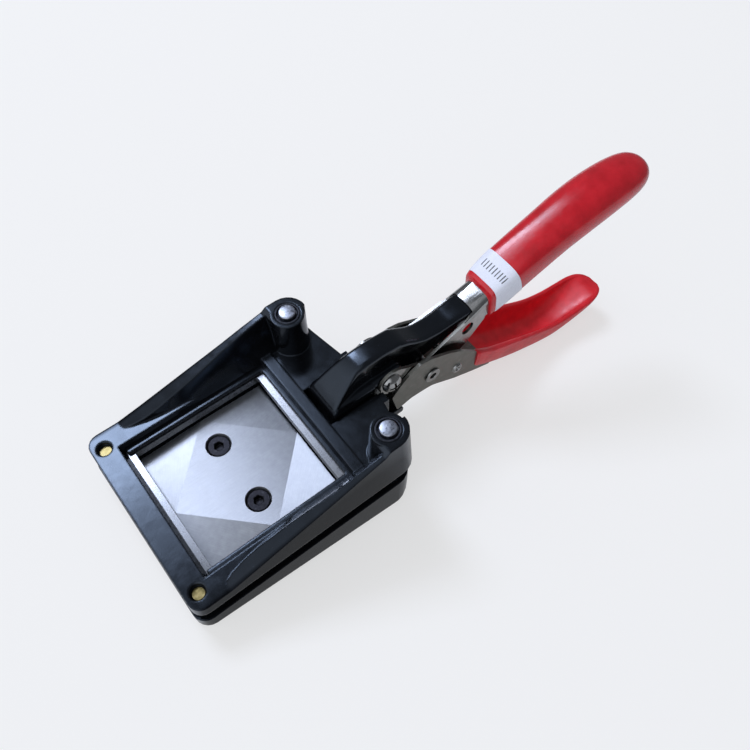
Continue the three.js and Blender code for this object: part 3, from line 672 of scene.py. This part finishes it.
# lays the grinding map in mm: its first way runs along the wheel's lines of each face
def mapGrinding(mesh, wayOf):
    uv = mesh.uv_layers.new(name="grinding")
    for face in mesh.polygons:
        level = abs(face.normal.z) > ground["level"]
        way = wayOf(face.center / mm, face.normal) if level else Vector((0, 0, 1)).cross(face.normal)
        way.normalize()
        over = face.normal.cross(way).normalized()
        for k in face.loop_indices:
            place = mesh.vertices[mesh.loops[k].vertex_index].co / mm
            uv.data[k].uv = (place.dot(way), place.dot(over))


# most corners went under the wheel nearly along the edge they share with the diamond, the rear left one across it
def punchWay(centre, normal):
    if normal.z > punch["flatFrom"] or abs(centre.x) + abs(centre.y) < punch["diamond"]:
        return Vector(punch["diamondWay"])
    return Vector(punch["cornerWays"][math.copysign(1, centre.x), math.copysign(1, centre.y)])


def dieWay(centre, normal):
    return Vector(die["way"])


punchBlock = roundedCopy("punchBlock", "punch_block", groundSteel, "base", 0,
                         degrees=punch["sharpFrom"])
mapGrinding(punchBlock.data, punchWay)
addBevel(punchBlock, punch["edge"], ground["segments"], ground["sharpFrom"])
diePlate = roundedCopy("diePlate", "die_plate", lappedSteel, "frame", 0)
mapGrinding(diePlate.data, dieWay)
addBevel(diePlate, die["edge"], ground["segments"], ground["sharpFrom"])
print("punch and die made")


# Screws

punchScrew = {"offset": 12.9, "top": 11, "headRadius": 4, "headDepth": 3.6, "shankRadius": 2, "tip": 4.2, "edge": 0.35}
dieScrew = {"places": [(-32.7, 30.7), (28, 30.7)], "face": 13.5, "headRadius": 3.4, "neckRadius": 2.2, "headDepth": 1.5,
            "top": 18.9, "edge": 0.3}
socket = {"radius": 1.75, "depth": 2}


def screwValues(head, neck, depth, shank, length, turn, finish):
    return {
        "Head radius": head * mm, "Neck radius": neck * mm, "Head depth": depth * mm, "Shank radius": shank * mm,
        "Shank length": length * mm, "Socket radius": socket["radius"] * mm, "Socket depth": socket["depth"] * mm,
        "Turn": turn, "Finish": finish,
    }


def makeScrews(name, places, values, edge, body, nodes):
    mesh = grown(name, screwTree, places, values)
    shadeByAngle(mesh, 30)
    addBevel(addPiece(name, mesh, values["Finish"], body, nodes), edge, 3, 30)


p = punchScrew
makeScrews("punchScrews", [(0, side * p["offset"], p["top"]) for side in (1, -1)],
           screwValues(p["headRadius"], p["headRadius"], p["headDepth"], p["shankRadius"],
                       p["top"] - p["headDepth"] - p["tip"], (0, 0, 0), blackOxide),
           p["edge"], "base", ["punch_screw_left", "punch_screw_right"])
d = dieScrew
makeScrews("dieScrews", [(x, side * y, d["face"]) for x, y in d["places"] for side in (1, -1)],
           screwValues(d["headRadius"], d["neckRadius"], d["headDepth"], d["neckRadius"],
                       d["top"] - d["face"] - d["headDepth"], (math.pi, 0, 0), holeShadedZinc),
           d["edge"], "frame",
           ["die_screw_front_left", "die_screw_front_right", "die_screw_rear_left", "die_screw_rear_right"])
print("screws made")


# Guide posts, bushes and springs

guides = {
    "places": [(43.3, 28.9), (43.3, -28.9)],
    "post": [(0, -2, 0), (3.1, -2, 0.3), (3.1, 38.2, 0.5), (0, 38.3, 0)],
    "bush": [(3.2, 22, 0), (4.6, 22, 0.2), (4.6, 37.1, 0.3), (3.75, 37.1, 0.25), (3.65, 36, 0.2), (3.2, 36, 0)],
}
# foot is the deck's height, travel that of the die slide
springs = {
    "radius": 4.15, "wire": 0.5, "turns": 5, "steps": 32, "sides": 10, "flatEnds": 0.45, "foot": 10.35, "travel": 3.6,
}

addPiece("guidePosts", turnedMesh("guidePosts", roundedLine(guides["post"], False, math.pi / 8), guides["places"]),
         turnedSteel, "base", ["guide_post_left", "guide_post_right"])
addPiece("guideBushes", turnedMesh("guideBushes", roundedLine(guides["bush"], True, math.pi / 6), guides["places"]),
         bushSteel, "frame", ["guide_bush_left", "guide_bush_right"])


# an open coil between two heights, its end turns laid nearly flat
def coilMesh(name, place, low, high):
    s = springs
    rings, count = [], s["turns"] * s["steps"]
    for i in range(count + 1):
        t = i / count
        # the pitch eases in and out, so that the ends sit square
        rise = t - s["flatEnds"] * math.sin(2 * math.pi * t) / (2 * math.pi)
        a = 2 * math.pi * i / s["steps"]
        ring = []
        for k in range(s["sides"]):
            b = 2 * math.pi * k / s["sides"]
            out = s["radius"] + s["wire"] * math.cos(b)
            height = low + (high - low) * rise + s["wire"] * math.sin(b)
            ring.append((place[0] + out * math.cos(a), place[1] + out * math.sin(a), height))
        rings.append(ring)
    return skinnedMesh(name, rings, 60)


for side, place in zip(("Left", "Right"), guides["places"]):
    node = "return_spring_" + side.lower()
    low, high = (corner[2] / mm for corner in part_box(node))
    coil = coilMesh("returnSpring" + side, place, low + springs["wire"], high - springs["wire"])
    spring = addPiece("returnSpring" + side, coil, springWire, "base", [node])
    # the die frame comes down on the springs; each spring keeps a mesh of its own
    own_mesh(spring)
print("guides made")


# Pressed sheet channels, rivets and the ear screw

sheet = {
    "handleRound": 0.22, "leverRound": 0.22, "earScrewRound": 0.18, "nutRound": 0.3,
    # the roof's line as x, height and half width
    "roof": [(97, 25.48, 6.87), (101.6, 27.08, 6.59), (108, 29.3, 6.2), (116, 32.07, 5.71)],
    # how far down the roof arches, how square it stays, how far the cutter keeps off the sheet and stands out of it
    "arch": {"deep": 4.2, "squareness": 0.72, "steps": 14, "clear": 0.02, "spare": 1},
    "hole": {"place": (98.8, 19.2), "radius": 2.9, "reach": 8, "sides": 40},
    "cheekNormal": 0.5,  # faces that look less than this to the side are a cheek's sheared edge
}
rivets = {
    "sides": 48,
    "pivot": {
        "place": (79.3, 10),
        "profile": [(1.5, -10.98, 0.25), (3.4, -11, 0.4), (3.4, -10.2, 0.1), (2.5, -10.2, 0), (2.5, 10.2, 0),
                    (3.4, 10.2, 0.1), (3.4, 11, 0.4), (1.5, 11, 0.25)],
    },
    "lever": {
        "place": (92.6, 1.6),
        "profile": [(0, -10.3, 0), (0.9, -10.3, 0.1), (1.1, -10.9, 0.3), (2.0, -10.9, 0.5), (2.5, -10.1, 0),
                    (1.5, -10.1, 0), (1.5, 10.1, 0), (2.5, 10.1, 0), (2.0, 10.9, 0.5), (1.1, 10.9, 0.3),
                    (0.9, 10.3, 0.1), (0, 10.3, 0)],
    },
}


# what is taken off the roof's square edge, so that the channel arches over from cheek to cheek
def archCutter(side):
    g = sheet["arch"]
    rings = []
    for x, top, half in sheet["roof"]:
        roof, cheek = top + g["spare"], half + g["spare"]
        section = [(0, roof), (cheek, roof), (cheek, top - g["deep"])]
        for k in range(g["steps"], -1, -1):
            a = math.pi / 2 * k / g["steps"]
            out, up = (max(v, 0) ** g["squareness"] for v in (math.sin(a), math.cos(a)))
            section.append(((half + g["clear"]) * out, top + g["clear"] - g["deep"] * (1 - up)))
        rings.append([(x, side * y, z) for y, z in section])
    count, size = len(rings), len(rings[0])
    ends = [tuple(range(size)), tuple(range(size * (count - 1), size * count))[::-1]]
    return faceOut(addMesh("archCutter", [p for ring in rings for p in ring], ends + ringFaces(count, size)))


def rivetMesh(name, rivet, closed, step):
    profile = roundedLine(rivet["profile"], closed, step)
    return turnedMesh(name, profile, [rivet["place"]], True, rivets["sides"])


hole = sheet["hole"]
holeProfile = [(0, -hole["reach"]), (hole["radius"], -hole["reach"]),
               (hole["radius"], hole["reach"]), (0, hole["reach"])]
holeCutter = turnedMesh("holeCutter", holeProfile, [hole["place"]], True, hole["sides"])
handle = roundedCopy("upperHandle", "upper_handle", nickelSheet, "base", sheet["handleRound"],
                     cutters=[archCutter(1), archCutter(-1), holeCutter])
# painted shade: the near cheek's sheared edge, in front of the roof, takes the darker lever sheet, so it draws darker
# than the far cheek's edge
handle.data.materials.append(leverSheet)
for face in handle.data.polygons:
    centre = face.center / mm
    if centre.x < sheet["roof"][1][0] and centre.y < 0 and abs(face.normal.y) < sheet["cheekNormal"]:
        face.material_index = 1
roundedCopy("lowerLever", "lower_lever", leverSheet, "lever", sheet["leverRound"])
roundedCopy("earScrew", "ear_screw", nickelSheet, "base", sheet["earScrewRound"])
roundedCopy("earNut", "ear_nut", nickelSheet, "base", sheet["nutRound"])
addPiece("pivotRivet", rivetMesh("pivotRivet", rivets["pivot"], True, math.pi / 8),
         nickelSheet, "base", ["pivot_rivet"])
addPiece("leverRivet", rivetMesh("leverRivet", rivets["lever"], False, math.pi / 12),
         nickelSheet, "lever", ["lever_rivet"])
print("sheet pieces made")


# Grips and the size band

# stations: x, z, half width, half height, slope in degrees, squareness
upperGrip = {
    "steps": 5, "sides": 72,
    "stations": [
        (109, 24.6, 6.9, 6.7, 4, 5), (109.4, 24.7, 7.5, 7.3, 4, 5), (112, 25.9, 8, 7.4, 8, 4.5),
        (116, 27.6, 8.5, 7.6, 13, 4), (122, 30.1, 8.9, 7.9, 17, 3.4), (132, 33.5, 9.3, 8.2, 18, 2.8),
        (142, 36.6, 9.6, 8.4, 16, 2.5), (152, 39.3, 10, 8.7, 13, 2.4), (162, 41.2, 10.2, 8.8, 9, 2.3),
        (172, 42.2, 10, 8.4, 4, 2.2), (180, 42.5, 9.3, 7.7, 2, 2.2), (185.5, 42.6, 8.1, 6.6, 0, 2.2),
        (189, 42.6, 6.1, 5, 0, 2.1), (191, 42.5, 3.4, 2.8, 0, 2), (191.6, 42.5, 1.2, 1, 0, 2),
    ],
}
# stations: x, rim z, bottom z, half width, how deep the hollow is
lowerGrip = {
    # the wall thins between two places, and the hollow keeps at least its share of the width
    "steps": 5, "sides": 30, "wall": (2.9, 2.0), "thinFrom": (112, 140), "squareness": 2.8, "hollow": 0.4,
    "lip": 0.95, "lipSteps": 6, "flatLip": 0.15,  # share of the lip that is left where nothing is hollow
    "stations": [
        (102.8, 3.2, -13.2, 10.9, 1), (104.5, 2.6, -14.6, 11.3, 1), (112, -2.6, -19, 11.3, 1),
        (126, -10, -26.6, 10.9, 1), (140, -17.6, -32.6, 10.3, 1), (150, -22.6, -36, 9.9, 1),
        (156, -24.8, -37, 9.7, 1), (164, -26.5, -36.6, 9.4, 0.97), (172, -27.2, -34.8, 9.2, 0.85),
        (179, -27.5, -33, 8.8, 0.5), (184, -28, -31.8, 7.6, 0.12), (187.5, -28.8, -31.2, 5.4, 0),
        (189.2, -29.4, -30.8, 2.8, 0),
    ],
}
band = {
    "rise": 0.18, "sink": 0.1, "steps": 6, "sides": 72,
    "stations": [(111, 25.45, 7.8, 7.36, 6.4, 4.7), (112, 25.9, 8, 7.4, 8, 4.5), (116, 27.6, 8.5, 7.6, 13, 4),
                 (122, 30.1, 8.9, 7.9, 17, 3.4)],
}
# the marks start as a row above the band and are laid down on it
marks = {
    "count": 9, "spacing": 1.5, "x": 114.5, "shift": -1, "above": 36.1, "length": 3.2, "width": 0.4, "rise": 0.02,
}


def ovalRing(station, rise, sides):
    x, z, wide, high, degrees, squareness = station
    slope = math.radians(degrees)
    ring = []
    for i in range(sides):
        a = 2 * math.pi * i / sides
        c, s = math.cos(a), math.sin(a)
        side = (wide + rise) * math.copysign(abs(c) ** (2 / squareness), c)
        up = (high + rise) * math.copysign(abs(s) ** (2 / squareness), s)
        ring.append((x - up * math.sin(slope), side, z + up * math.cos(slope)))
    return ring


# one closed ring of the trough: round the outside, over one lip, back along the hollow, over the other lip
def troughRing(station, g):
    x, rim, bottom, wide, deep = station
    steps, power = g["sides"], 2 / g["squareness"]
    thin = max(0, min(1, (x - g["thinFrom"][0]) / (g["thinFrom"][1] - g["thinFrom"][0])))
    wall = g["wall"][0] + (g["wall"][1] - g["wall"][0]) * thin
    inner = max(wide - wall, wide * g["hollow"])
    lip = min((wide - inner) / 2, (rim - bottom) / 3, g["lip"]) * min(1, g["flatLip"] + deep)
    centre = rim - lip
    outside, hollow = [], []
    for i in range(steps + 1):
        a = math.pi * i / steps
        side = math.copysign(abs(math.cos(a)) ** power, math.cos(a))
        down = abs(math.sin(a)) ** power
        outside.append((x, wide * side, centre - (centre - bottom) * down))
        hollow.append((x, inner * side, centre - max((centre - bottom - wall) * deep, 0) * down))
    over = []
    for k in range(1, g["lipSteps"]):  # from the outer face over the lip to the hollow, on the far side
        a = math.pi * k / g["lipSteps"]
        over.append((x, -((wide + inner) / 2 + (wide - inner) / 2 * math.cos(a)), centre + lip * math.sin(a)))
    return outside + over + hollow[::-1] + [(px, -py, pz) for px, py, pz in reversed(over)]


def troughMesh(name, g):
    rings = [troughRing(row, g) for row in easedRows(g["stations"], g["steps"])]
    count, size, steps = len(rings), len(rings[0]), g["sides"]
    faces = ringFaces(count, size)
    far = steps + g["lipSteps"] - 1  # the last point over the far lip
    for first in (0, (count - 1) * size):  # both ends are closed between the outside and the hollow
        for i in range(steps):
            faces.append((first + i, first + i + 1, first + far + steps - i, first + far + steps + 1 - i))
        faces.append(tuple(first + k for k in range(steps, far + 2)))
        faces.append(tuple(first + k % size for k in range(far + 1 + steps, size + 1)))
    mesh = faceOut(addMesh(name, [p for ring in rings for p in ring], faces), True)
    shadeByAngle(mesh, 50)
    return mesh


# a thin closed skin just over and just under the grip's own
def bandMesh(name, g):
    rows = easedRows(g["stations"], g["steps"])
    outer, inner = ([ovalRing(row, rise, g["sides"]) for row in rows] for rise in (g["rise"], -g["sink"]))
    rings = outer + inner[::-1]
    faces = ringFaces(len(rings), g["sides"], True)
    mesh = faceOut(addMesh(name, [p for ring in rings for p in ring], faces))
    shadeByAngle(mesh, 50)
    return mesh


upperRows = easedRows(upperGrip["stations"], upperGrip["steps"])
upperRings = [ovalRing(row, 0, upperGrip["sides"]) for row in upperRows]
addPiece("upperGrip", skinnedMesh("upperGrip", upperRings, 50), redPvc, "base", ["upper_grip"])
addPiece("lowerGrip", troughMesh("lowerGrip", lowerGrip), litTroughPvc, "lever", ["lower_grip"])
print("grips made")

sizeBand = addPiece("sizeBand", bandMesh("sizeBand", band), labelPaper, "base", ["size_band"])
# a plain row of scale marks stands for the printed size
places = [(marks["x"], (i - (marks["count"] - 1) / 2) * marks["spacing"] + marks["shift"], marks["above"])
          for i in range(marks["count"])]
markMesh = grown("scaleMarks", markTree, places, {
    "Mark length": marks["length"] * mm, "Mark width": marks["width"] * mm, "Rise": marks["rise"] * mm,
    "Skin": sizeBand, "Finish": ink,
})
addPiece("scaleMarks", markMesh, ink, "base", [])
print("band made")


# Floor, light and camera

# the tool stands on the base's front edge and the lower grip, so the floor is tilted to meet both
floor = {
    "front": (-37.8, 4.6), "grip": (156, -37.1), "middle": 60, "size": 3000, "colour": "#f6f5f2",
    "seen": 0.6, "mirrored": 0.2,  # share of even white for the eye, and for metal and glass
}
light = {
    "sky": (0.2, 1.3),  # brightness away from its clear side and towards it
    "turn": (0.45, 0.85),  # between these cosines to the clear side the one goes over into the other
    "clear": (190, 28),  # azimuth and elevation of the clear side
    "tint": (0.95, 0.99, 1.08),
    "boxColour": (0.88, 0.97, 1.2),
    "window": {"azimuth": 93, "elevation": 53.5, "far": 3000, "size": 860, "strength": 12},
    "curtain": {"azimuth": 86, "elevation": 57, "far": 3100, "size": 1205, "strength": 2.6},
    "aim": (40, 0, 15),
}
# the camera as solved from the photograph
photo = {
    "eye": (-29.044, -116.841, 260.140), "right": (0.79225, -0.61019, -0.00278), "up": (0.52405, 0.67806, 0.51538),
    "lens": 37.25, "sensor": 36, "clip": (0.01, 20),
}


def mixedShader(tree, share, first, second):
    return addNode(tree, "ShaderNodeMixShader", links={0: share, 1: first.outputs[0], 2: second.outputs[0]})


def makeFloor():
    f = floor
    slope = (f["grip"][1] - f["front"][1]) / (f["grip"][0] - f["front"][0])
    half = f["size"] / 2
    points = []
    for dx, y in ((-half, -half), (half, -half), (half, half), (-half, half)):
        x = f["middle"] + dx
        points.append((x, y, f["front"][1] + slope * (x - f["front"][0])))
    mesh = addMesh("floor", points, [(0, 1, 2, 3)])
    piece = addObject("floor", mesh)
    material = bpy.data.materials.new("pale paper sweep")
    tree = emptyTree(material)
    paper = addNode(tree, "ShaderNodeBsdfDiffuse", inputs={"Color": linearColour(f["colour"])})
    glow = addNode(tree, "ShaderNodeEmission", inputs={"Strength": 1.0})
    # the eye, metal and glass see a share of the paper's white as even, the rest keeps the shadow
    path = addNode(tree, "ShaderNodeLightPath").outputs
    mirrored = maths(tree, "MAXIMUM", path["Is Glossy Ray"], path["Is Transmission Ray"])
    mirrored = maths(tree, "MULTIPLY", mirrored, f["mirrored"])
    share = maths(tree, "MULTIPLY_ADD", path["Is Camera Ray"], f["seen"], mirrored)
    white = mixedShader(tree, share, paper, glow)
    # seen from below the sweep is clear, so the underside can be looked at
    clear = addNode(tree, "ShaderNodeBsdfTransparent")
    both = mixedShader(tree, addNode(tree, "ShaderNodeNewGeometry").outputs["Backfacing"], white, clear)
    addNode(tree, "ShaderNodeOutputMaterial", links={"Surface": both.outputs[0]})
    mesh.materials.append(material)


def wayTo(azimuth, elevation):  # both in degrees
    az, el = math.radians(azimuth), math.radians(elevation)
    return Vector((math.cos(el) * math.cos(az), math.cos(el) * math.sin(az), math.sin(el)))


def addSoftbox(name, s):
    way = wayTo(s["azimuth"], s["elevation"])
    data = bpy.data.lights.new(name, "AREA")
    data.shape = "SQUARE"
    data.size = s["size"] * mm
    data.energy = s["strength"] * math.pi * data.size ** 2  # strength is the box's own brightness, white being 1
    data.color = light["boxColour"]
    lamp = addObject(name, data)
    lamp.location = (Vector(light["aim"]) + way * s["far"]) * mm
    lamp.rotation_mode = "QUATERNION"
    lamp.rotation_quaternion = way.to_track_quat("Z", "Y")


def makeSky():
    world = bpy.data.worlds.new("studio")
    bpy.context.scene.world = world
    tree = emptyTree(world)
    place = addNode(tree, "ShaderNodeTexCoord").outputs["Generated"]
    towards = addNode(tree, "ShaderNodeVectorMath", {"operation": "DOT_PRODUCT"},
                      {1: wayTo(*light["clear"])}, {0: place}).outputs["Value"]
    level = ranged(tree, towards, *light["sky"], *light["turn"])
    glow = addNode(tree, "ShaderNodeBackground", inputs={"Color": (*light["tint"], 1)}, links={"Strength": level})
    # the camera sees plain white past the floor's edge
    plain = addNode(tree, "ShaderNodeBackground", inputs={"Color": (1, 1, 1, 1), "Strength": 1.0})
    both = mixedShader(tree, addNode(tree, "ShaderNodeLightPath").outputs["Is Camera Ray"], glow, plain)
    addNode(tree, "ShaderNodeOutputWorld", links={"Surface": both.outputs[0]})


def makeCamera():
    right, up = Vector(photo["right"]), Vector(photo["up"])
    eye = [v * mm for v in photo["eye"]]
    data = bpy.data.cameras.new("photo camera")
    data.lens = photo["lens"]
    data.sensor_width = photo["sensor"]
    data.clip_start, data.clip_end = photo["clip"]
    camera = addObject("photo camera", data)
    camera.matrix_world = Matrix((*zip(right, up, right.cross(up), eye), (0, 0, 0, 1)))
    bpy.context.scene.camera = camera


makeFloor()
for name in ("window", "curtain"):
    addSoftbox(name + " light", light[name])
makeSky()
makeCamera()
bpy.context.scene.view_settings.view_transform = "Standard"
print("stage, light and camera made")
